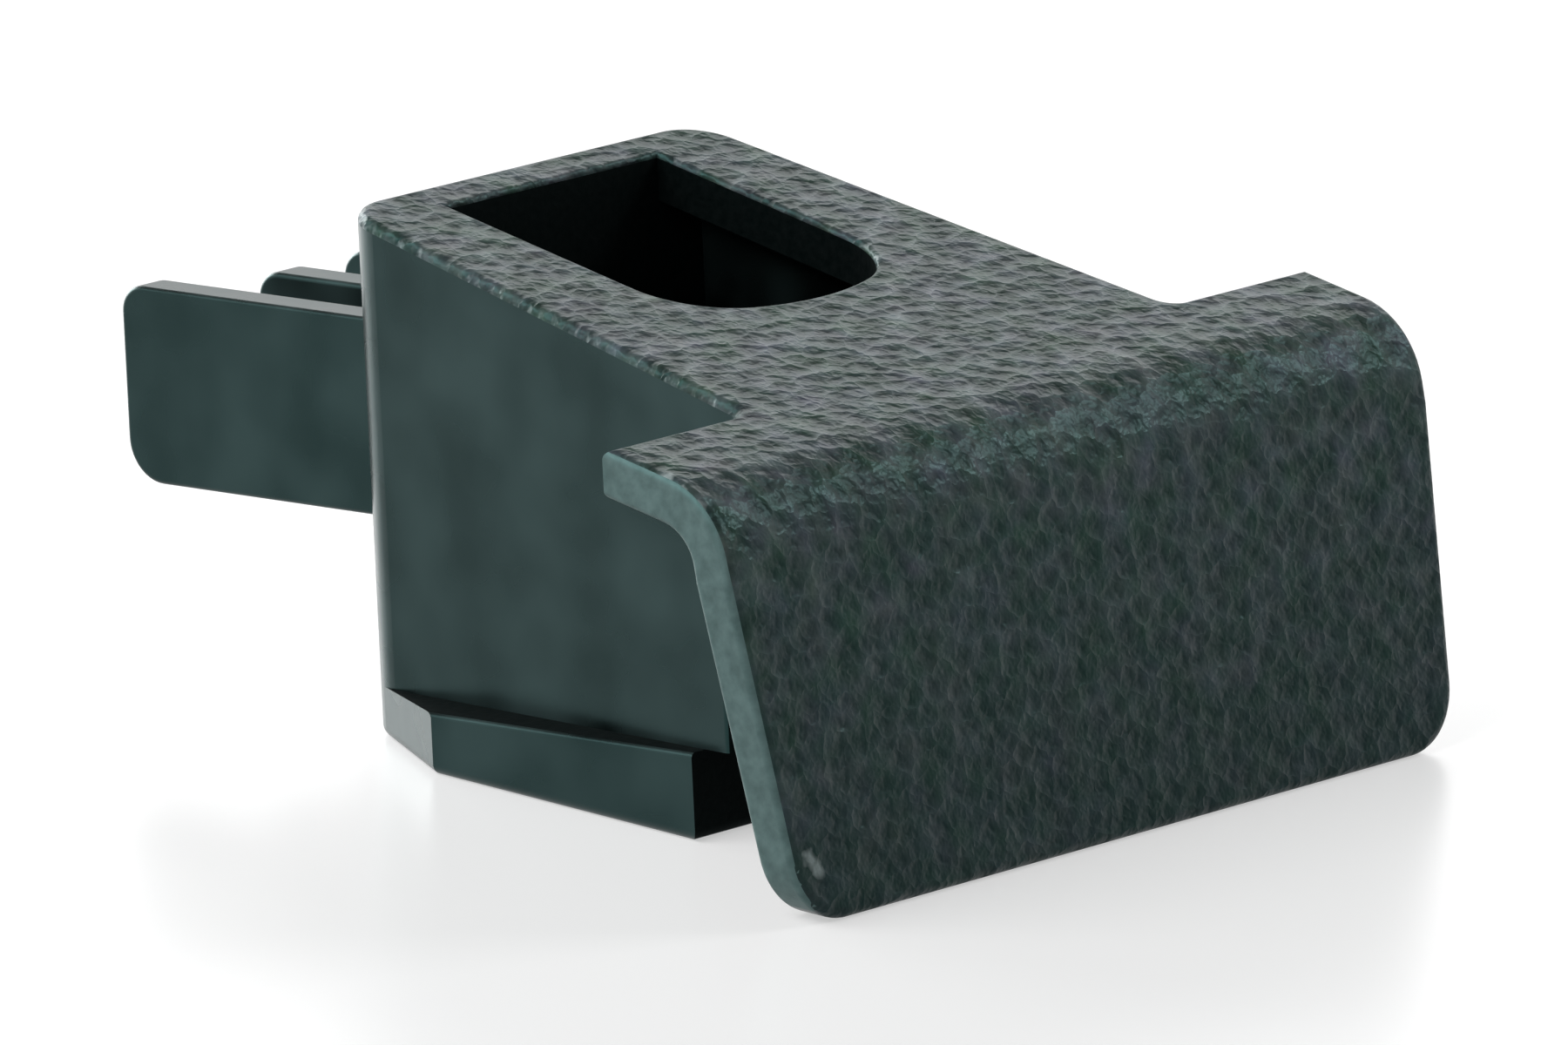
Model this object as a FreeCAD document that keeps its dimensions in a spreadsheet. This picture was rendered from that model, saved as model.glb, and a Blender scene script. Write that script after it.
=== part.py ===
"""Door panel clip: one moulding with a hollow wedge body, a bent cover flap in front and four legs behind.

The clip is drawn in its own axes: X runs forward from the body's back face, Y across, Z up from the ledge
of the foot. The finished body is then stood on its base, with the origin under the middle of its box.
"""

import FreeCAD, Part
import os
import Sketcher
from FreeCAD import Rotation, Vector

# Driving dimensions, in millimetres and degrees
SIZES = (
    ("body_length", 19.4, "back face to front face of the hollow body"),
    ("body_back_width", 18.3, "width of the body at its back face"),
    ("side_taper", 5.0, "angle of each side wall in plan"),
    ("body_back_height", 17.15, "ledge of the foot to the top's back edge"),
    ("top_slope", 13.1, "fall of the top towards the flap"),
    ("wall", 1.7, "thickness of the body's walls and of the flap"),
    ("back_corner_radius", 2.0, "upright back corners of the body and the foot"),
    ("hole_width", 10.9, "width of the hole in the top"),
    ("hole_front_rim", 5.05, "round end of the hole to the body's front face"),
    ("hole_crown_rise", 1.55, "depth of the hole's round end"),
    ("hole_corner_radius", 3.4, "corners between the hole's sides and its round end"),
    ("ear_gap", 1.5, "body's front face to the back edge of the ears"),
    ("ear_corner_radius", 0.7, "inside corners between the body's sides and the ears"),
    ("flap_reach", 6.8, "body's front face to where the planes of the top and the flap meet"),
    ("flap_lean", 8.5, "angle of the flap from upright"),
    ("flap_width", 36.2, "width over the ears"),
    ("flap_straight", 0.77, "upright part of the flap's sides, below the bend"),
    ("flap_draw", 1.2, "how far each side of the flap draws in at its lower edge"),
    ("flap_bottom_radius", 2.4, "lower corners of the flap"),
    ("bend_radius", 3.4, "outside of the bend between the top and the flap"),
    ("slot_root_radius", 0.9, "inside corner between the body's front face and the top"),
    ("ledge_width", 0.72, "body's side to the flange's outer face, at the foot's front face"),
    ("foot_setback", 1.3, "body's front face to the foot's front face"),
    ("foot_lead_length", 5.6, "back face to the end of the foot's slanted back corners"),
    ("base_drop", 1.8, "ledge to the base at the back face"),
    ("rest_tilt", 4.4, "angle of the base to the ledge"),
    ("leg_thickness", 1.5, "thickness of a leg"),
    ("leg_pitch", 4.33, "distance between the middles of an outer leg and the inner leg beside it"),
    ("leg_inset", 0.05, "flat part of the back face that shows beside an outer leg"),
    ("leg_height", 7.15, "height of a leg"),
    ("leg_base", 5.6, "ledge to the lower edge of a leg"),
    ("outer_leg_length", 12.9, "back face to the end of an outer leg"),
    ("inner_leg_length", 10.3, "back face to the end of an inner leg"),
    ("leg_top_radius", 1.0, "upper corner at a leg's end"),
    ("leg_bottom_radius", 1.6, "lower corner at a leg's end"),
    ("edge_radius", 0.35, "soft outer edges of the top and the flap"),
    ("flap_back_radius", 0.25, "soft edges at the back of the flap"),
    ("rim_radius", 0.2, "soft upper edge of the hole"),
    ("leg_edge_radius", 0.2, "soft edges of the legs"),
    ("ledge_radius", 0.2, "soft outer edge of the foot's ledge"),
    ("foot_edge_radius", 0.4, "soft lower edges of the foot"),
)

NODE = "panel_clip"
NEAR = 0.01
Y_AXIS = Vector(0, 1, 0)
Z_AXIS = Vector(0, 0, 1)

doc = FreeCAD.newDocument("door_panel_clip")
sheet = doc.addObject("Spreadsheet::Sheet", "Sizes")
for row, (alias, value, meaning) in enumerate(SIZES, 1):
    sheet.set(f"A{row}", meaning)
    sheet.set(f"B{row}", str(value))
    sheet.setAlias(f"B{row}", alias)
doc.recompute()

body = doc.addObject("PartDesign::Body", NODE)
body.Label = NODE
planes = {feature.Role: feature for feature in body.Origin.OriginFeatures}


def size(expression):
    """Value of an expression over the sheet's aliases."""
    return float(sheet.evalExpression(expression))


# Lines that several features share, as expressions over the sheet
def side(x):
    """Half width of the body at a distance x from its back face."""
    return f"(Sizes.body_back_width / 2 + ({x}) * tan(Sizes.side_taper))"


def top(x):
    """Height of the top face at a distance x from the back face."""
    return f"(Sizes.body_back_height - ({x}) * tan(Sizes.top_slope))"


def base(x):
    """Height of the base plane, which the foot and the flap stand on."""
    return f"(-Sizes.base_drop - ({x}) * tan(Sizes.rest_tilt))"


BODY_FRONT = "Sizes.body_length"
FOOT_FRONT = "(Sizes.body_length - Sizes.foot_setback)"
EAR_BACK = "(Sizes.body_length + Sizes.ear_gap)"
FLAP_CORNER = "(Sizes.body_length + Sizes.flap_reach)"
HALF_FLAP = "(Sizes.flap_width / 2)"
HALF_HOLE = "(Sizes.hole_width / 2)"
SIDE_WALL = "(Sizes.wall / cos(Sizes.side_taper))"
TOP_WALL = "(Sizes.wall / cos(Sizes.top_slope))"
CORNER = "Sizes.back_corner_radius"


def new_sketch(name, plane, offset=None):
    """Sketch on one of the body's own planes, moved along the plane's normal by an expression."""
    sketch = body.newObject("Sketcher::SketchObject", name)
    sketch.AttachmentSupport = [(planes[plane], "")]
    sketch.MapMode = "FlatFace"
    if offset:
        sketch.setExpression("AttachmentOffset.Base.z", offset)
    return sketch


def bind(sketch, kind, references, expression):
    """Add one dimension to a sketch and tie it to the sheet."""
    number = sketch.addConstraint(Sketcher.Constraint(kind, *references, size(expression)))
    sketch.setExpression(f"Constraints[{number}]", expression)


def outline(sketch, corners, arcs=None):
    """Loop through corners given as pairs of expressions.

    The side after a corner is straight, or an arc if arcs has its number, with its peak and its radius.
    In a constraint a side starts at its point 1 and ends at its point 2, and (-1, 1) is the sketch's origin.
    """
    arcs = arcs or {}
    points = [Vector(size(x), size(y), 0) for x, y in corners]
    first = sketch.GeometryCount
    for number, start in enumerate(points):
        end = points[(number + 1) % len(points)]
        if number in arcs:
            x, y, radius = arcs[number]
            sketch.addGeometry(Part.Arc(start, Vector(size(x), size(y), 0), end))
        else:
            sketch.addGeometry(Part.LineSegment(start, end))
    for number, (x, y) in enumerate(corners):
        before = (number - 1) % len(corners)
        sketch.addConstraint(Sketcher.Constraint("Coincident", first + before, 2, first + number, 1))
        bind(sketch, "DistanceX", (-1, 1, first + number, 1), x)
        bind(sketch, "DistanceY", (-1, 1, first + number, 1), y)
    for number, (x, y, radius) in arcs.items():
        bind(sketch, "Radius", (first + number,), radius)


def mirrored_outlines(sketch, corners):
    """Two loops, one on either side of the middle, from the corners of the one on the +Y side."""
    outline(sketch, corners)
    if sketch.AttachmentSupport[0][0].Role == "YZ_Plane":
        outline(sketch, [(f"-{x}", y) for x, y in corners])
    else:
        outline(sketch, [(x, f"-{y}") for x, y in corners])


def built(feature):
    """Recompute and stop on a feature that failed or changed nothing."""
    doc.recompute()
    if any(word in feature.State for word in ("Invalid", "Error")):
        raise RuntimeError(f"{feature.Name} failed: {feature.getStatusString()}")
    before = feature.BaseFeature.Shape.Volume if feature.BaseFeature else 0
    if abs(feature.Shape.Volume - before) < NEAR:
        raise RuntimeError(f"{feature.Name} changed nothing")
    return feature


def new_feature(kind, name, sketch, length=None, **settings):
    """Pad or pocket of a sketch, as long as an expression says."""
    feature = body.newObject(f"PartDesign::{kind}", name)
    feature.Profile = sketch
    if length:
        feature.setExpression("Length", length)
    for setting, value in settings.items():
        setattr(feature, setting, value)
    return built(feature)


def cut_through(name, sketch):
    """Pocket of a sketch through the whole body, on both sides of the sketch."""
    return new_feature("Pocket", name, sketch, Type="ThroughAll", SideType="Symmetric")


def is_straight(edge, direction):
    """True for a straight edge that runs along a direction."""
    if edge.Curve.TypeId != "Part::GeomLine":
        return False
    return edge.Curve.Direction.cross(direction).Length < NEAR


def middle(edge):
    """Middle of an edge along its length."""
    return edge.valueAt((edge.FirstParameter + edge.LastParameter) / 2)


def same(value, expression):
    """True where a coordinate equals an expression over the sheet."""
    return abs(value - size(expression)) < NEAR


def is_listed(edge, edges):
    """How many times an edge is in a list of edges."""
    return sum(edge.isSame(other) for other in edges)


def new_fillet(name, radius, test):
    """Round the edges of the last feature that pass a test."""
    last = body.Tip
    names = [f"Edge{n}" for n, edge in enumerate(last.Shape.Edges, 1) if test(edge)]
    if not names:
        raise RuntimeError(f"{name} found no edges")
    fillet = body.newObject("PartDesign::Fillet", name)
    fillet.Base = (last, names)
    fillet.setExpression("Radius", radius)
    return built(fillet)


# Hollow body: a wedge block with slanting top and sides, shelled from below
plan = new_sketch("BodyPlan", "XY_Plane")
outline(plan, [
    ("0", f"-{side('0')}"),
    (BODY_FRONT, f"-{side(BODY_FRONT)}"),
    (BODY_FRONT, side(BODY_FRONT)),
    ("0", side("0")),
])
new_feature("Pad", "Block", plan, "Sizes.body_back_height")

slope = new_sketch("TopSlope", "XZ_Plane")
behind = "-Sizes.wall"
ahead = "(Sizes.body_length + Sizes.wall)"
outline(slope, [(behind, top(behind)), (ahead, top(ahead)), (ahead, top(behind))])
wedge = cut_through("TopCut", slope)

shell = body.newObject("PartDesign::Thickness", "Shell")
bottom = [f"Face{n}" for n, face in enumerate(wedge.Shape.Faces, 1) if same(face.CenterOfMass.z, "0")]
shell.Base = (wedge, bottom)
shell.Reversed = True
shell.Join = "Intersection"
shell.setExpression("Value", "Sizes.wall")
built(shell)


def is_back_corner(edge):
    """Upright outer edge at the back."""
    spot = middle(edge)
    return is_straight(edge, Z_AXIS) and same(spot.x, "0") and same(abs(spot.y), side("0"))


new_fillet("BackCorners", CORNER, is_back_corner)

# Bent cover: the top runs on past the body and turns down into the flap
bent = new_sketch("FlapProfile", "XZ_Plane")
cover_start = "(Sizes.body_length - Sizes.wall)"
flap_end = base(f"{FLAP_CORNER} + Sizes.bend_radius")
flap_end_x = f"({FLAP_CORNER} + ({top(FLAP_CORNER)} - {flap_end}) * tan(Sizes.flap_lean))"
inner_step = "(Sizes.wall * (tan(Sizes.flap_lean) / cos(Sizes.top_slope) - 1 / cos(Sizes.flap_lean))"
inner_step += " / (1 - tan(Sizes.top_slope) * tan(Sizes.flap_lean)))"
inner_x = f"({FLAP_CORNER} + {inner_step})"
inner_z = f"({top(inner_x)} - {TOP_WALL})"
outline(bent, [
    (cover_start, top(cover_start)),
    (FLAP_CORNER, top(FLAP_CORNER)),
    (flap_end_x, flap_end),
    (f"({flap_end_x} - Sizes.wall / cos(Sizes.flap_lean))", flap_end),
    (inner_x, inner_z),
    (cover_start, f"({top(cover_start)} - {TOP_WALL})"),
])
new_feature("Pad", "Cover", bent, "Sizes.flap_width", SideType="Symmetric")

# Ears: what stands out beside the body behind the ears' back edge is cut away
ears = new_sketch("EarPlan", "XY_Plane")
ear_start = "(Sizes.body_length - 2 * Sizes.wall)"
past_flap = "Sizes.flap_width"
mirrored_outlines(ears, [
    (ear_start, side(ear_start)),
    (EAR_BACK, side(EAR_BACK)),
    (EAR_BACK, past_flap),
    (ear_start, past_flap),
])
cut_through("EarCut", ears)


def is_ear_corner(edge):
    """Upright inside edge where a side of the body meets an ear."""
    spot = middle(edge)
    return is_straight(edge, Z_AXIS) and same(spot.x, EAR_BACK) and same(abs(spot.y), side(EAR_BACK))


new_fillet("EarCorners", "Sizes.ear_corner_radius", is_ear_corner)

# Flap sides: narrower towards the lower edge
narrow = new_sketch("FlapSides", "YZ_Plane")
far_ahead = f"(2 * {FLAP_CORNER})"
past_base = base(far_ahead)
bend_tangent = "(Sizes.bend_radius * tan((90 - Sizes.top_slope - Sizes.flap_lean) / 2))"
shoulder = f"({top(FLAP_CORNER)} - {bend_tangent} * cos(Sizes.flap_lean) - Sizes.flap_straight)"
narrowing = f"(Sizes.flap_draw / ({shoulder} - {base(flap_end_x)}))"
mirrored_outlines(narrow, [
    (HALF_FLAP, shoulder),
    (f"({HALF_FLAP} - ({shoulder} - {past_base}) * {narrowing})", past_base),
    (past_flap, past_base),
    (past_flap, shoulder),
])
cut_through("FlapSideCut", narrow)

# Foot: a frame under the body with a flange along each side. A flange's slanted back end is a tangent to
# the body's rounded back corner, so that the two run on without a step.
foot_plan = new_sketch("FootPlan", "XY_Plane")
half_foot = f"({side(FOOT_FRONT)} + Sizes.ledge_width)"
corner_y = f"({side(CORNER)} - {CORNER} / cos(Sizes.side_taper))"
lead_x = f"(Sizes.foot_lead_length - {CORNER})"
lead_y = f"({half_foot} - {corner_y})"
lead_angle = f"(atan({lead_y} / {lead_x}) - asin({CORNER} / sqrt({lead_x} ^ 2 + {lead_y} ^ 2)))"
lead_start = f"({CORNER} * (1 - sin({lead_angle})))"
lead_start_y = f"({corner_y} + {CORNER} * cos({lead_angle}))"
arc_middle = f"(45 deg - {lead_angle} / 2)"
arc_x = f"({CORNER} * (1 - cos({arc_middle})))"
arc_y = f"({corner_y} + {CORNER} * sin({arc_middle}))"
outline(foot_plan, [
    ("0", corner_y),
    ("0", f"-{corner_y}"),
    (lead_start, f"-{lead_start_y}"),
    ("Sizes.foot_lead_length", f"-{half_foot}"),
    (FOOT_FRONT, f"-{half_foot}"),
    (FOOT_FRONT, half_foot),
    ("Sizes.foot_lead_length", half_foot),
    (lead_start, lead_start_y),
], {1: (arc_x, f"-{arc_y}", CORNER), 7: (arc_x, arc_y, CORNER)})
frame_front = f"({FOOT_FRONT} - Sizes.wall)"
outline(foot_plan, [
    ("Sizes.wall", f"-({side('Sizes.wall')} - {SIDE_WALL})"),
    (frame_front, f"-({side(frame_front)} - {SIDE_WALL})"),
    (frame_front, f"({side(frame_front)} - {SIDE_WALL})"),
    ("Sizes.wall", f"({side('Sizes.wall')} - {SIDE_WALL})"),
])
new_feature("Pad", "Foot", foot_plan, f"-{base(FOOT_FRONT)}", Reversed=True)

# Base: foot and flap end on one plane
under = new_sketch("BasePlane", "XZ_Plane")
outline(under, [(behind, base(behind)), (far_ahead, base(far_ahead)), (behind, base(far_ahead))])
cut_through("BaseCut", under)

# Legs: flat tongues behind the back wall, drawn on the +Y side and mirrored
leg_root = "(Sizes.wall / 2)"
leg_top = "(Sizes.leg_base + Sizes.leg_height)"
outer_leg_y = f"({corner_y} - Sizes.leg_inset - Sizes.leg_thickness / 2)"
LEGS = (
    ("OuterLeg", outer_leg_y, "Sizes.outer_leg_length"),
    ("InnerLeg", f"({outer_leg_y} - Sizes.leg_pitch)", "Sizes.inner_leg_length"),
)
legs = []
for name, off_middle, reach in LEGS:
    profile = new_sketch(f"{name}Profile", "XZ_Plane", f"-{off_middle}")
    outline(profile, [
        (f"-{reach}", "Sizes.leg_base"),
        (leg_root, "Sizes.leg_base"),
        (leg_root, leg_top),
        (f"-{reach}", leg_top),
    ])
    legs.append(new_feature("Pad", name, profile, "Sizes.leg_thickness", SideType="Symmetric"))
mirror = body.newObject("PartDesign::Mirrored", "LegPairs")
mirror.Originals = legs
mirror.MirrorPlane = (planes["XZ_Plane"], [""])
body.Tip = mirror
built(mirror)

# Hole in the top: flush with the inside of the back wall, straight at the sides, with a crowned front
hole_plan = new_sketch("HolePlan", "XY_Plane")
hole_back = "Sizes.wall"
hole_front = "(Sizes.body_length - Sizes.hole_front_rim)"
crown_start = f"({hole_front} - Sizes.hole_crown_rise)"
crown_radius = f"({HALF_HOLE} ^ 2 / Sizes.hole_crown_rise + Sizes.hole_crown_rise) / 2"
outline(hole_plan, [
    (hole_back, f"-{HALF_HOLE}"),
    (crown_start, f"-{HALF_HOLE}"),
    (crown_start, HALF_HOLE),
    (hole_back, HALF_HOLE),
], {1: (hole_front, "0", crown_radius)})
new_feature("Pocket", "TopHole", hole_plan, Type="ThroughAll", Reversed=True)


# Rounded corners, largest first
def runs_across(x, z):
    """Test for an edge along Y through a point of the side view."""
    def passes(edge):
        spot = middle(edge)
        return is_straight(edge, Y_AXIS) and same(spot.x, x) and same(spot.z, z)
    return passes


new_fillet("OuterBend", "Sizes.bend_radius", runs_across(FLAP_CORNER, top(FLAP_CORNER)))
new_fillet("InnerBend", "Sizes.bend_radius - Sizes.wall", runs_across(inner_x, inner_z))
new_fillet("SlotRoot", "Sizes.slot_root_radius", runs_across(BODY_FRONT, f"{top(BODY_FRONT)} - {TOP_WALL}"))


def is_flap_corner(edge):
    """Edge through the flap's thickness at one of its lower corners."""
    on_base = all(same(end.Z, base(end.X)) for end in edge.Vertexes)
    return on_base and not is_straight(edge, Y_AXIS) and middle(edge).x > size(BODY_FRONT)


def is_hole_corner(edge):
    """Upright edge between a side of the hole and its round end."""
    spot = middle(edge)
    at_corner = same(spot.x, crown_start) and same(abs(spot.y), HALF_HOLE)
    return is_straight(edge, Z_AXIS) and at_corner


def at_leg_ends(height):
    """Test for the edges along Y at the ends of the legs."""
    tests = [runs_across(f"-{reach}", height) for name, off_middle, reach in LEGS]
    return lambda edge: any(test(edge) for test in tests)


new_fillet("FlapCorners", "Sizes.flap_bottom_radius", is_flap_corner)
new_fillet("HoleCorners", "Sizes.hole_corner_radius", is_hole_corner)
new_fillet("LegTops", "Sizes.leg_top_radius", at_leg_ends(leg_top))
new_fillet("LegBottoms", "Sizes.leg_bottom_radius", at_leg_ends("Sizes.leg_base"))


def is_ledge_edge(edge):
    """Outer edge of the ledge along the straight part of a flange."""
    spot = middle(edge)
    beside = size("Sizes.foot_lead_length") < spot.x < size(FOOT_FRONT)
    return beside and same(spot.z, "0") and same(abs(spot.y), half_foot)


new_fillet("LedgeEdges", "Sizes.ledge_radius", is_ledge_edge)


# Soft edges round the outer surface, the hole, the foot's base, the legs and the back of the flap
def is_plane(face):
    """True for a flat face."""
    return face.Surface.TypeId == "Part::GeomPlane"


def is_bend(face, radius):
    """True for a round face along Y with a radius given as an expression."""
    if face.Surface.TypeId != "Part::GeomCylinder":
        return False
    return face.Surface.Axis.cross(Y_AXIS).Length < NEAR and same(face.Surface.Radius, radius)


def is_show_face(face):
    """The top, the bend and the front of the flap, which make one outer surface."""
    spot = face.CenterOfMass
    front = f"{FLAP_CORNER} + ({top(FLAP_CORNER)} - ({spot.z})) * tan(Sizes.flap_lean)"
    flat = is_plane(face) and (same(spot.z, top(spot.x)) or same(spot.x, front))
    return flat or is_bend(face, "Sizes.bend_radius")


def is_flap_back(face):
    """The plate's inner side: under the ears, round the bend and down the back of the flap."""
    spot = face.CenterOfMass
    back = f"{inner_x} + ({inner_z} - ({spot.z})) * tan(Sizes.flap_lean)"
    flat = is_plane(face) and (same(spot.z, f"{top(spot.x)} - {TOP_WALL}") or same(spot.x, back))
    return spot.x > size(BODY_FRONT) and (flat or is_bend(face, "Sizes.bend_radius - Sizes.wall"))


def is_foot_base(face):
    """The part of the base plane that is under the body."""
    spot = face.CenterOfMass
    return same(spot.z, base(spot.x)) and spot.x < size(BODY_FRONT)


def is_leg_side(face):
    """Flat side of a leg."""
    return is_plane(face) and face.CenterOfMass.x < 0 and face.Surface.Axis.cross(Y_AXIS).Length < NEAR


def border(test):
    """Edges that bound the faces that pass a test, outside and in their holes, in two lists."""
    faces = [face for face in body.Tip.Shape.Faces if test(face)]
    outside = [edge for face in faces for edge in face.OuterWire.Edges]
    holes = [wire for face in faces for wire in face.Wires if not wire.isSame(face.OuterWire)]
    return outside, [edge for wire in holes for edge in wire.Edges]


def is_leg_edge(edge):
    """Edge round the side of a leg, behind the back face."""
    return middle(edge).x < -NEAR and is_listed(edge, leg_border)


def is_flap_back_edge(edge):
    """Edge of the plate's inner side, along an ear's end, a side of the flap or its lower edge."""
    spot = middle(edge)
    beside_body = abs(spot.y) > size(f"{side(EAR_BACK)} + Sizes.ear_corner_radius")
    return is_listed(edge, back_border) == 1 and (beside_body or same(spot.z, base(spot.x)))


show_border = border(is_show_face)[0]
new_fillet("SoftEdges", "Sizes.edge_radius", lambda edge: is_listed(edge, show_border) == 1)
hole_rim = border(is_show_face)[1]
new_fillet("HoleRim", "Sizes.rim_radius", lambda edge: is_listed(edge, hole_rim))
foot_border = border(is_foot_base)[0]
new_fillet("FootEdges", "Sizes.foot_edge_radius", lambda edge: is_listed(edge, foot_border))
leg_border = border(is_leg_side)[0]
new_fillet("LegEdges", "Sizes.leg_edge_radius", is_leg_edge)
back_border = border(is_flap_back)[0]
new_fillet("FlapBackEdges", "Sizes.flap_back_radius", is_flap_back_edge)

# Rest: the base is turned level and lifted to zero, and the box is centred over the origin
body.Placement.Rotation = Rotation(-Y_AXIS, size("Sizes.rest_tilt"))
body.setExpression("Placement.Rotation.Angle", "Sizes.rest_tilt")
body.setExpression("Placement.Base.z", "Sizes.base_drop * cos(Sizes.rest_tilt)")
doc.recompute()
box = body.Shape.optimalBoundingBox(False, False)
body.Placement.Base.x = -box.Center.x
doc.recompute()

for item in doc.Objects:
    if any(word in item.State for word in ("Invalid", "Error")):
        raise RuntimeError(f"{item.Name} failed: {item.getStatusString()}")
if body.Shape.isNull() or not body.Shape.isValid() or len(body.Shape.Solids) != 1:
    raise RuntimeError("the clip is not one valid solid")

os.makedirs("parts", exist_ok=True)
body.Shape.exportStep(os.path.join("parts", f"{body.Label}.step"))
box = body.Shape.optimalBoundingBox(False, False)
print(f"{body.Label}: {box.XLength:.2f} x {box.YLength:.2f} x {box.ZLength:.2f} mm")
print(f"from {box.XMin:.3f}, {box.YMin:.3f}, {box.ZMin:.3f}, volume {body.Shape.Volume:.0f} mm3")
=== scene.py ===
# %% [markdown]
# # A moulded door panel clip
# The object is one injection moulding of black plastic: a hollow wedge body, a bent flap in front of it
# and four flat legs behind. The solid comes from the CAD frame at its real size. This lesson gives it
# its finishes: a coarse grain on the top and the flap's front, a matt skin on the flap's ends and a satin
# sheen everywhere else, and it paints shade as a near-black skin on the walls inside.

# %% The imported model as a fixed frame
import math

import bmesh
import bpy
from mathutils import Matrix, Vector


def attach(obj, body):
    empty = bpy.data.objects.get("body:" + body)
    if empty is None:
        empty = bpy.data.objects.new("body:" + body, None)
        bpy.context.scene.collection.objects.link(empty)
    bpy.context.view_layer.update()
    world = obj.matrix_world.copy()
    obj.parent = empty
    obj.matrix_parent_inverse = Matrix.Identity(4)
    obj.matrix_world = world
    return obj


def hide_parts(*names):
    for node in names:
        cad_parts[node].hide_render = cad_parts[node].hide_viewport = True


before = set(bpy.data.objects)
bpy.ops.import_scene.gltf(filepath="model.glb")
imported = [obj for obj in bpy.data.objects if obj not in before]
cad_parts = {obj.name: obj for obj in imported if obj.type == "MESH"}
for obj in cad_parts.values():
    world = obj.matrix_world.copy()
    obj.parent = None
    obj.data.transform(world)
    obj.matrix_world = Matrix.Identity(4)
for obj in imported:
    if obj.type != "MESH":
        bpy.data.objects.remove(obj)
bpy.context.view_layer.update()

MM = 0.001

# %% [markdown]
# ## The view
# The clip is seen through a long lens, from its front right corner and a little above. A camera could be
# placed by its coordinates, but it is easier to read as a turn round the object, a height above the
# floor and a distance. So its place is worked out from those and from the point that the lens is aimed
# at. The frame is 1800 by 1200.

# %% Camera
VIEW_AZIMUTH = math.radians(42.6)
VIEW_ELEVATION = math.radians(14.72)
VIEW_ROLL = math.radians(0.64)
VIEW_DISTANCE = 751.6 * MM
AIM_POINT = Vector((3.736, 0.666, 7.91)) * MM
SENSOR_WIDTH = 36.0
LENS = 490.75


def look_from(azimuth, elevation):
    """Unit vector from the object to an eye or a lamp; azimuth 0 is in front of -Y, 90 of +X."""
    flat = math.cos(elevation)
    return Vector((math.sin(azimuth) * flat, -math.cos(azimuth) * flat, math.sin(elevation)))


def facing_from(direction):
    """Turn of a camera or lamp that looks back along a direction, with its upper side up."""
    return direction.to_track_quat("Z", "Y").to_matrix().to_4x4()


camera_data = bpy.data.cameras.new("photo_view")
camera_data.sensor_width = SENSOR_WIDTH
camera_data.lens = LENS
camera = bpy.data.objects.new("photo_view", camera_data)
bpy.context.scene.collection.objects.link(camera)
backward = look_from(VIEW_AZIMUTH, VIEW_ELEVATION)
standpoint = Matrix.Translation(AIM_POINT + backward * VIEW_DISTANCE)
camera.matrix_world = standpoint @ facing_from(backward) @ Matrix.Rotation(VIEW_ROLL, 4, "Z")
bpy.context.scene.camera = camera
bpy.context.scene.view_settings.view_transform = "Standard"
print("camera at", [round(x, 3) for x in camera.matrix_world.translation], "m")

# %% [markdown]
# ## Small helpers for materials
# Colours are written as sRGB hex values, as a screen shows them, and the shader wants them linear. Every
# material below is a handful of nodes, and one function adds a node, sets it and links it. Patterns are
# sized in millimetres: at scale 1 a texture has about one feature per metre, so a pattern of a given size
# needs one over that size.


# %% Colour, node and scale helpers
def linear(hex_colour):
    """Linear RGBA of an sRGB colour written as hex digits."""
    channels = [int(hex_colour[start:start + 2], 16) / 255 for start in (0, 2, 4)]
    return [c / 12.92 if c <= 0.04045 else ((c + 0.055) / 1.055) ** 2.4 for c in channels] + [1.0]


def per_size(size_mm):
    """Texture scale at which one feature of the pattern is this many millimetres wide."""
    return 1.0 / (size_mm * MM)


def add_node(tree, kind, settings=None, ramp=(), **links):
    """New node of a tree.

    Settings go to its properties or, by socket name, to its inputs. A ramp is places and hex colours.
    Links name what feeds an input: an output, or a node for its first output.
    """
    node = tree.nodes.new(kind)
    for name, value in (settings or {}).items():
        if hasattr(node, name):
            setattr(node, name, value)
        else:
            node.inputs[name].default_value = value
    for index, (position, hex_colour) in enumerate(ramp):
        node.color_ramp.elements[index].position = position
        node.color_ramp.elements[index].color = linear(hex_colour)
    for name, source in links.items():
        output = getattr(source, "outputs", [source])[0]
        tree.links.new(output, node.inputs[name.replace("_", " ")])
    return node


def new_material(name):
    """Material with an empty node tree, and the tree."""
    material = bpy.data.materials.new(name)
    material.use_nodes = True
    material.node_tree.nodes.clear()
    return material, material.node_tree


print("a pattern of 1 mm has the scale", per_size(1.0))

# %% [markdown]
# ## Satin polypropylene
# Clips like this are often moulded in polypropylene, which bends light at about 1.49. The sides, legs and
# foot have a soft satin sheen with hardly any texture, as plastic does that leaves polished steel. The
# colour is close to black, and what it mirrors comes back with a cool cast.
#
# An even shader would be quicker, but it looks drawn. So broad shallow waves bend the sheen a little, and
# soft patches are paler and duller, as if handled.

# %% Satin finish
COOL_CAST = linear("a4fffd")
MOULDED_IOR = 1.49

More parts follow.
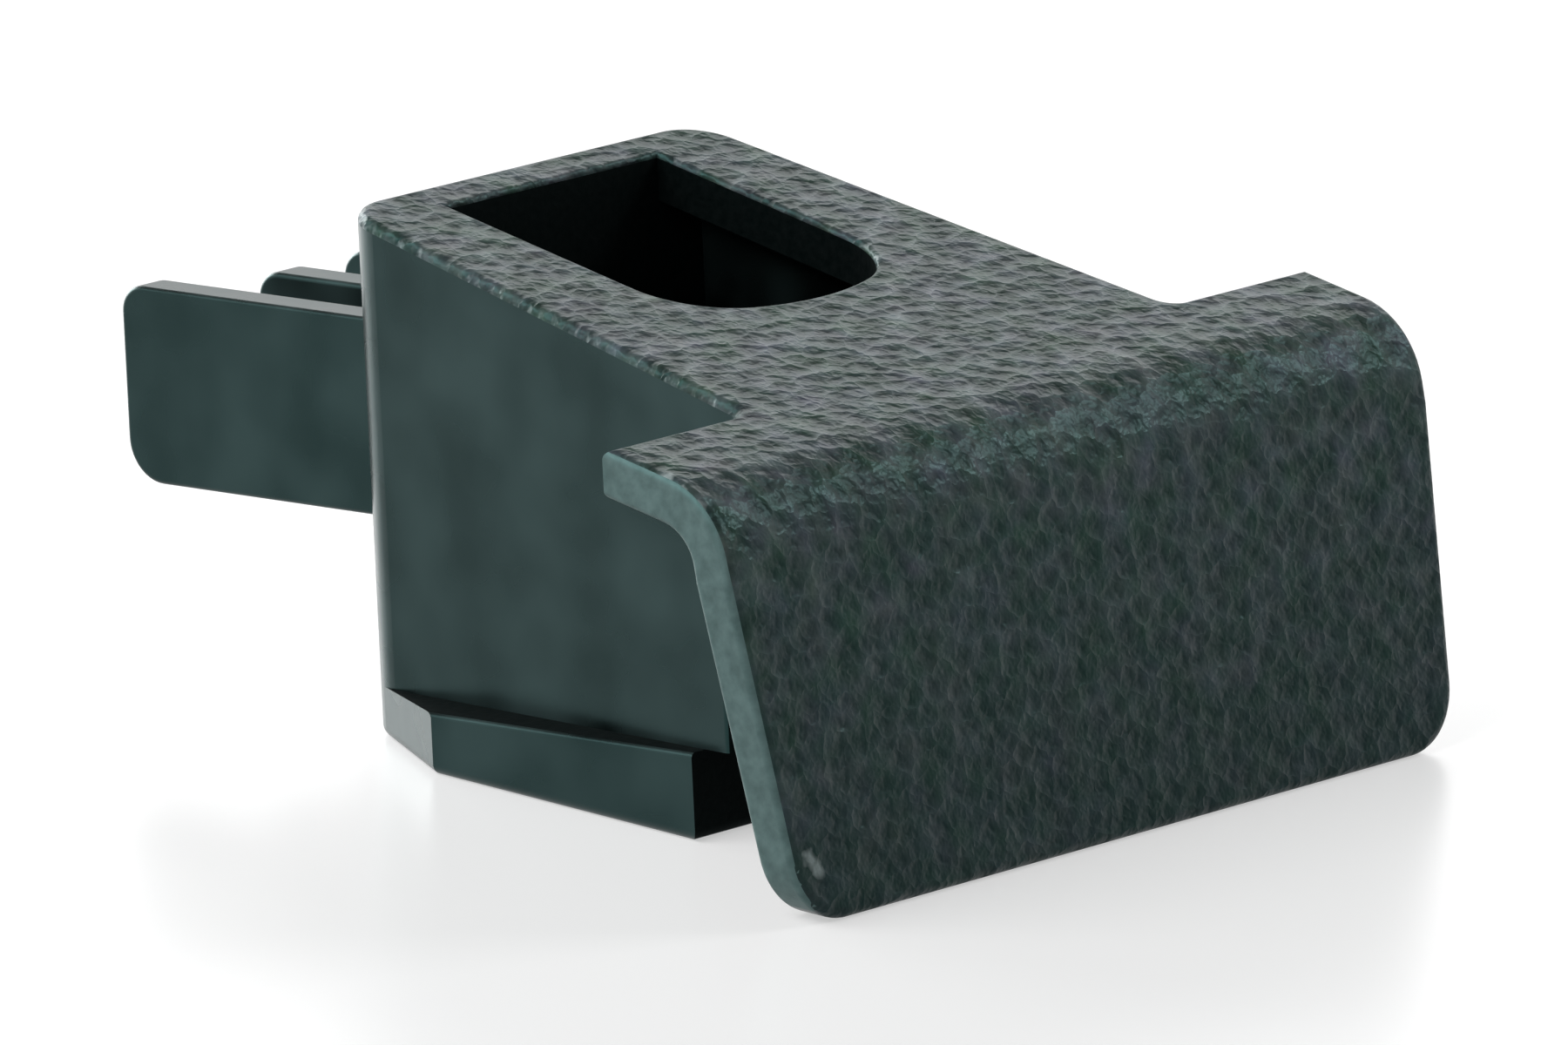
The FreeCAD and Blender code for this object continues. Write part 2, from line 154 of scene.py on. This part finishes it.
satin, tree = new_material("satin_polypropylene")
place = add_node(tree, "ShaderNodeTexCoord").outputs["Object"]
patches = add_node(tree, "ShaderNodeTexNoise", {"Scale": per_size(3.5), "Detail": 1.5}, Vector=place)
tones = add_node(tree, "ShaderNodeValToRGB", ramp=((0.3, "020303"), (0.7, "222c2c")), Fac=patches)
polish = add_node(tree, "ShaderNodeMapRange", {"To Min": 0.2, "To Max": 0.38}, Value=patches)
waves = add_node(tree, "ShaderNodeTexNoise", {"Scale": per_size(1.2), "Detail": 1.0}, Vector=place)
relief = add_node(tree, "ShaderNodeBump", {"Distance": 0.006 * MM}, Height=waves)
shader = add_node(
    tree, "ShaderNodeBsdfPrincipled",
    {"IOR": MOULDED_IOR, "Specular Tint": COOL_CAST, "Specular IOR Level": 0.36},
    Base_Color=tones, Roughness=polish, Normal=relief,
)
add_node(tree, "ShaderNodeOutputMaterial", Surface=shader)
print("satin finish:", satin.name)

# %% [markdown]
# ## Grained polypropylene
# The top, the bend and the flap's front have a coarse grain, like plastic that leaves steel eroded by
# sparks. It is drawn as craters about seven tenths of a millimetre wide and a tenth deep, which is coarse
# for such a grain, so that it shows. Real relief would take a great many faces, so a bump gives it.
#
# A cell pattern makes craters with thin rims. A little noise in its coordinates makes them ragged, and
# they are a third wider across the flap, so that they look round where the flap is seen aslant. The rims
# are paler and smoother than the pits. Below the bend the colour darkens down to the flap's lower edge,
# to about a third: that is painted shade, for light that falls off towards the floor.
# Over a millimetre or two the colour drifts a little between green, blue and purple, all near black.
#
# A few pale spots are painted on the grain: two at a lower corner of the flap, and three along the near
# end of its bend, which are painted highlights on its rounded edge. Each is a soft spot round a point,
# given with its reach in millimetres, and it takes the ragged coordinates too.

# %% Craters and colour
BEND_HEIGHT = 15.0 * MM
WIDER_ACROSS = (1.0, 0.75, 1.0)

grained, tree = new_material("grained_polypropylene")
place = add_node(tree, "ShaderNodeTexCoord").outputs["Object"]
unrest = add_node(tree, "ShaderNodeTexNoise", {"Scale": per_size(0.6)}, Vector=place).outputs["Color"]
shift = {"blend_type": "LINEAR_LIGHT", "Fac": 0.4 * MM}
ragged = add_node(tree, "ShaderNodeMixRGB", shift, Color1=place, Color2=unrest)
widened = add_node(tree, "ShaderNodeMapping", {"Scale": WIDER_ACROSS}, Vector=ragged)
craters = add_node(tree, "ShaderNodeTexVoronoi", {"Scale": per_size(0.7)}, Vector=widened)
stirring = add_node(tree, "ShaderNodeTexNoise", {"Scale": per_size(1.5), "Detail": 3.0}, Vector=place)
pigment = add_node(tree, "ShaderNodeValToRGB", ramp=((0.36, "27332d"), (0.64, "3d4548")), Fac=stirring)
drift = {"blend_type": "OVERLAY", "Fac": 0.3}
mottled = add_node(tree, "ShaderNodeMixRGB", drift, Color1=pigment, Color2=stirring.outputs["Color"])
rims = {"From Min": 0.2, "From Max": 0.85, "To Min": 0.65, "To Max": 1.85}
rubbing = add_node(tree, "ShaderNodeMapRange", rims, Value=craters)
height = add_node(tree, "ShaderNodeSeparateXYZ", Vector=place).outputs["Z"]
# Painted shade: the colour darkens from the bend's height down to the floor, to 0.35 at the bottom.
painted_downward_shade = add_node(tree, "ShaderNodeMapRange", {"From Max": BEND_HEIGHT, "To Min": 0.35}, Value=height)
tint = {"blend_type": "MULTIPLY", "Fac": 1.0}
rubbed = add_node(tree, "ShaderNodeMixRGB", tint, Color1=mottled, Color2=rubbing)
colour = add_node(tree, "ShaderNodeMixRGB", tint, Color1=rubbed, Color2=painted_downward_shade)
print("grain drawn in", grained.name)

# %% Pale spots and the grained shader
PALE_SPOTS = (
    ((20.80, -16.30, 2.35), 0.42),
    ((20.80, -15.95, 2.00), 0.38),
    ((15.40, -18.00, 15.10), 0.40),
    ((16.20, -18.05, 14.75), 0.36),
    ((16.90, -18.05, 14.45), 0.30),
)

# Pale spots: the three at the end of the bend are painted highlights on its rounded edge.
for point, reach in PALE_SPOTS:
    round_point = {"vector_type": "TEXTURE", "Location": Vector(point) * MM, "Scale": [reach * MM] * 3}
    spot = add_node(tree, "ShaderNodeMapping", round_point, Vector=ragged)
    fading = add_node(tree, "ShaderNodeTexGradient", {"gradient_type": "SPHERICAL"}, Vector=spot)
    amount = add_node(tree, "ShaderNodeMapRange", {"From Max": 0.6, "To Max": 0.75}, Value=fading)
    colour = add_node(tree, "ShaderNodeMixRGB", {"Color2": linear("9aa6a6")}, Fac=amount, Color1=colour)
polish = add_node(tree, "ShaderNodeMapRange", {"To Min": 0.46, "To Max": 0.3}, Value=craters)
relief = add_node(tree, "ShaderNodeBump", {"Distance": 0.13 * MM}, Height=craters)
shader = add_node(
    tree, "ShaderNodeBsdfPrincipled",
    {"IOR": MOULDED_IOR, "Specular Tint": COOL_CAST, "Specular IOR Level": 0.2},
    Base_Color=colour, Roughness=polish, Normal=relief,
)
add_node(tree, "ShaderNodeOutputMaterial", Surface=shader)
print("grained finish:", grained.name, "with", len(PALE_SPOTS), "pale_spots")

# %% [markdown]
# ## Matt polypropylene
# The ends of the flap are matt and paler than the rest, like plastic that leaves ground steel. A rough
# shader alone would look like paper, so a fine even tooth, much shallower than the grain, breaks it up.

# %% Matt finish
matt, tree = new_material("matt_polypropylene")
place = add_node(tree, "ShaderNodeTexCoord").outputs["Object"]
tooth = add_node(tree, "ShaderNodeTexNoise", {"Scale": per_size(0.5), "Detail": 3.0}, Vector=place)
tones = add_node(tree, "ShaderNodeValToRGB", ramp=((0.3, "465453"), (0.7, "5a6c6b")), Fac=tooth)
relief = add_node(tree, "ShaderNodeBump", {"Distance": 0.03 * MM}, Height=tooth)
shader = add_node(
    tree, "ShaderNodeBsdfPrincipled",
    {"IOR": MOULDED_IOR, "Specular Tint": COOL_CAST, "Roughness": 0.5},
    Base_Color=tones, Normal=relief,
)
add_node(tree, "ShaderNodeOutputMaterial", Surface=shader)
print("matt finish:", matt.name)

# %% [markdown]
# ## Painted shade
# The cavity, the ledge of the foot and the walls that look forwards into the slot are the blackest
# places of the clip. Shade alone leaves them too light under soft lamps, so shade is painted on them as a
# near-black, rough skin that mirrors next to nothing.

# %% Painted shade finish
painted_shade, tree = new_material("painted_shade_polypropylene")
place = add_node(tree, "ShaderNodeTexCoord").outputs["Object"]
shade_speckle = add_node(tree, "ShaderNodeTexNoise", {"Scale": per_size(0.3)}, Vector=place)
# Painted shade: near-black tones that stand in for the shade in the cavity, on the ledge and in the slot.
tones = add_node(tree, "ShaderNodeValToRGB", ramp=((0.3, "020303"), (0.7, "0a0c0c")), Fac=shade_speckle)
relief = add_node(tree, "ShaderNodeBump", {"Distance": 0.02 * MM}, Height=shade_speckle)
shader = add_node(
    tree, "ShaderNodeBsdfPrincipled",
    {"IOR": MOULDED_IOR, "Specular Tint": COOL_CAST, "Roughness": 0.7, "Specular IOR Level": 0.06},
    Base_Color=tones, Normal=relief,
)
add_node(tree, "ShaderNodeOutputMaterial", Surface=shader)
print("dull finish:", painted_shade.name)

# %% [markdown]
# ## The clip in three finishes and painted shade
# The shape of the solid is right as it is, so the visible piece is a copy of its mesh, and what the copy
# adds is the split between the three finishes and the painted shade. Faces could be picked by hand, but
# a rule is shorter and still holds when the solid is meshed anew. A face is sorted by where it lies and
# which way it looks:
#
# - The ends of the flap are the only faces further out than the foot that look sideways.
# - The grain lies along two planes, the top and the flap's front, with the bend between them. A face has
#   it if it looks forwards and upwards at once, or if it is a soft edge right at one of the planes.
# - Painted shade goes on walls that look at the cavity's middle from around it, look forwards into the
#   slot behind the flap, or look straight up from the ledge.
# - All others are satin.

# %% Rules for the faces
BEYOND_FOOT = 12.5 * MM
SOFT_EDGE = 0.42 * MM
SHOW_CORNER = Vector((17.87, 0, 14.83)) * MM
TOP_FALL = math.radians(8.7)
FLAP_LEAN = math.radians(12.9)
TOP_NORMAL = Vector((math.sin(TOP_FALL), 0, math.cos(TOP_FALL)))
FLAP_NORMAL = Vector((math.cos(FLAP_LEAN), 0, math.sin(FLAP_LEAN)))
SLOT_START = 10.0 * MM
LEDGE_TOP = 6.0 * MM
BODY_BACK = -9.0 * MM
CORE_HALF_WIDTH = 8.0 * MM
CAVITY_MIDDLE = Vector((1.7, 0, 7.0)) * MM

# Least share of a face's normal along an axis
SQUARELY = 0.6
STRAIGHT_UP = 0.95
SLIGHTLY_FORWARDS = 0.05
SLIGHTLY_UPWARDS = 0.15


def finish_of(face):
    """Name of the finish, or of the painted shade, that a face of the clip gets."""
    spot = face.center
    look = face.normal
    if abs(spot.y) > BEYOND_FOOT and abs(look.y) > SQUARELY:
        return "matt"
    looks_out = look.x > SLIGHTLY_FORWARDS and look.z > SLIGHTLY_UPWARDS
    from_corner = spot - SHOW_CORNER
    is_soft_edge = max(from_corner.dot(TOP_NORMAL), from_corner.dot(FLAP_NORMAL)) > -SOFT_EDGE
    if looks_out or is_soft_edge:
        return "grained"
    # The ledge, the slot walls and the cavity walls get painted shade.
    is_ledge = look.z > STRAIGHT_UP and spot.z < LEDGE_TOP
    in_slot = spot.x > SLOT_START and look.x > SQUARELY
    is_inside = BODY_BACK < spot.x < SLOT_START and abs(spot.y) < CORE_HALF_WIDTH
    in_cavity = is_inside and look.dot(CAVITY_MIDDLE - spot) > 0
    return "painted_shade" if is_ledge or in_slot or in_cavity else "satin"


print("the top falls", round(math.degrees(TOP_FALL), 1), "degrees towards the flap")

# %% The visible clip
FINISHES_AND_PAINTED_SHADE = {"satin": satin, "grained": grained, "matt": matt, "painted_shade": painted_shade}

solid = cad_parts["panel_clip"]
clip = bpy.data.objects.new("moulded_clip", solid.data.copy())
clip.matrix_world = solid.matrix_world
bpy.context.scene.collection.objects.link(clip)
clip.data.materials.clear()
for material in FINISHES_AND_PAINTED_SHADE.values():
    clip.data.materials.append(material)
names = list(FINISHES_AND_PAINTED_SHADE)
for face in clip.data.polygons:
    face.material_index = names.index(finish_of(face))
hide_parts("panel_clip")
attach(clip, "root")
slots = [face.material_index for face in clip.data.polygons]
print("faces in each finish:", {name: slots.count(slot) for slot, name in enumerate(names)})

# %% [markdown]
# ## Floor and studio
# The clip stands on a white laminate board. A white world alone would leave the clip floating, and a
# matt floor would give its lower edges nothing to mirror. Laminate is smooth and slightly glossy, so it
# shows a soft glare of the window, and that glare lights the foot's slanted back corner.
#
# Under lamps at a plain level the board comes out pale grey, so it glows a little for the eye and for
# reflections. That adds no other light, and the clip's shadow stays.
#
# The room around has white walls under a dark ceiling. It is white for the eye and for reflections, and
# much dimmer as a light, which leaves the modelling to the lamps.


# %% White laminate
def seen_directly(tree):
    """Output that is 1 for rays that show the surroundings: straight, mirrored or through clear stuff."""
    path = add_node(tree, "ShaderNodeLightPath")
    seen = path.outputs["Is Camera Ray"]
    for kind in ("Is Glossy Ray", "Is Transmission Ray"):
        either = add_node(tree, "ShaderNodeMath", {"operation": "MAXIMUM"})
        tree.links.new(seen, either.inputs[0])
        tree.links.new(path.outputs[kind], either.inputs[1])
        seen = either.outputs["Value"]
    return seen


board, tree = new_material("white_laminate")
glow = add_node(tree, "ShaderNodeMapRange", {"To Max": 0.5}, Value=seen_directly(tree))
shader = add_node(
    tree, "ShaderNodeBsdfPrincipled",
    {"Base Color": linear("acacac"), "Roughness": 0.3, "Emission Color": linear("ffffff")},
    Emission_Strength=glow,
)
add_node(tree, "ShaderNodeOutputMaterial", Surface=shader)
print("floor finish:", board.name)

# %% Floor
FLOOR_SIZE = 4.0

floor_mesh = bpy.data.meshes.new("floor")
shaper = bmesh.new()
bmesh.ops.create_grid(shaper, x_segments=1, y_segments=1, size=FLOOR_SIZE / 2)
shaper.to_mesh(floor_mesh)
shaper.free()
floor_mesh.materials.append(board)
floor = bpy.data.objects.new("floor", floor_mesh)
bpy.context.scene.collection.objects.link(floor)
print("floor of", FLOOR_SIZE, "m")

# %% Room
WALL_TOP = (0.34, 0.56)
CEILING = 0.12

world = bpy.data.worlds.new("studio")
world.use_nodes = True
tree = world.node_tree
background = tree.nodes["Background"]
strength = add_node(tree, "ShaderNodeMapRange", {"To Min": 0.14}, Value=seen_directly(tree))
direction = add_node(tree, "ShaderNodeTexCoord").outputs["Generated"]
height = add_node(tree, "ShaderNodeSeparateXYZ", Vector=direction).outputs["Z"]
fade = {"From Min": WALL_TOP[0], "From Max": WALL_TOP[1], "To Min": 1.0, "To Max": CEILING}
walls = add_node(tree, "ShaderNodeMapRange", fade, Value=height)
tree.links.new(strength.outputs["Result"], background.inputs["Strength"])
tree.links.new(walls.outputs["Result"], background.inputs["Color"])
bpy.context.scene.world = world
print("room:", world.name)

# %% [markdown]
# ## Lamps
# Black plastic is drawn by what it mirrors, so each lamp has a face to light. A large window stands low
# behind the legs and gives the glare on the board and the bright edges of the legs and the back corner.
# A dim box on the far side lies where the top mirrors it, and a small one further round puts a thin
# light along the bend. A large box high on the near side lights the flap's near end. There is no lamp
# in front of the flap, so its front stays dark.
#
# A lamp's power follows from its brightness, its area and the half sphere that it shines into.

# %% Softboxes
LAMP_DISTANCE = 0.9


def softbox(name, azimuth, elevation, width, height, brightness):
    """Rectangular lamp that faces the clip, in degrees and metres, with a brightness where white is 1."""
    data = bpy.data.lights.new(name, "AREA")
    data.shape = "RECTANGLE"
    data.size = width
    data.size_y = height
    data.energy = brightness * math.pi * width * height
    lamp = bpy.data.objects.new(name, data)
    bpy.context.scene.collection.objects.link(lamp)
    towards = look_from(math.radians(azimuth), math.radians(elevation))
    lamp.matrix_world = Matrix.Translation(towards * LAMP_DISTANCE) @ facing_from(towards)
    print(name, "of", round(data.energy, 2), "W")


softbox("window", azimuth=-94, elevation=13, width=0.75, height=0.4, brightness=7.0)
softbox("back_box", azimuth=-138, elevation=23, width=0.6, height=0.22, brightness=1.7)
softbox("ridge_box", azimuth=152, elevation=40, width=0.34, height=0.24, brightness=9.5)
softbox("front_box", azimuth=-22, elevation=46, width=0.9, height=0.5, brightness=6.2)
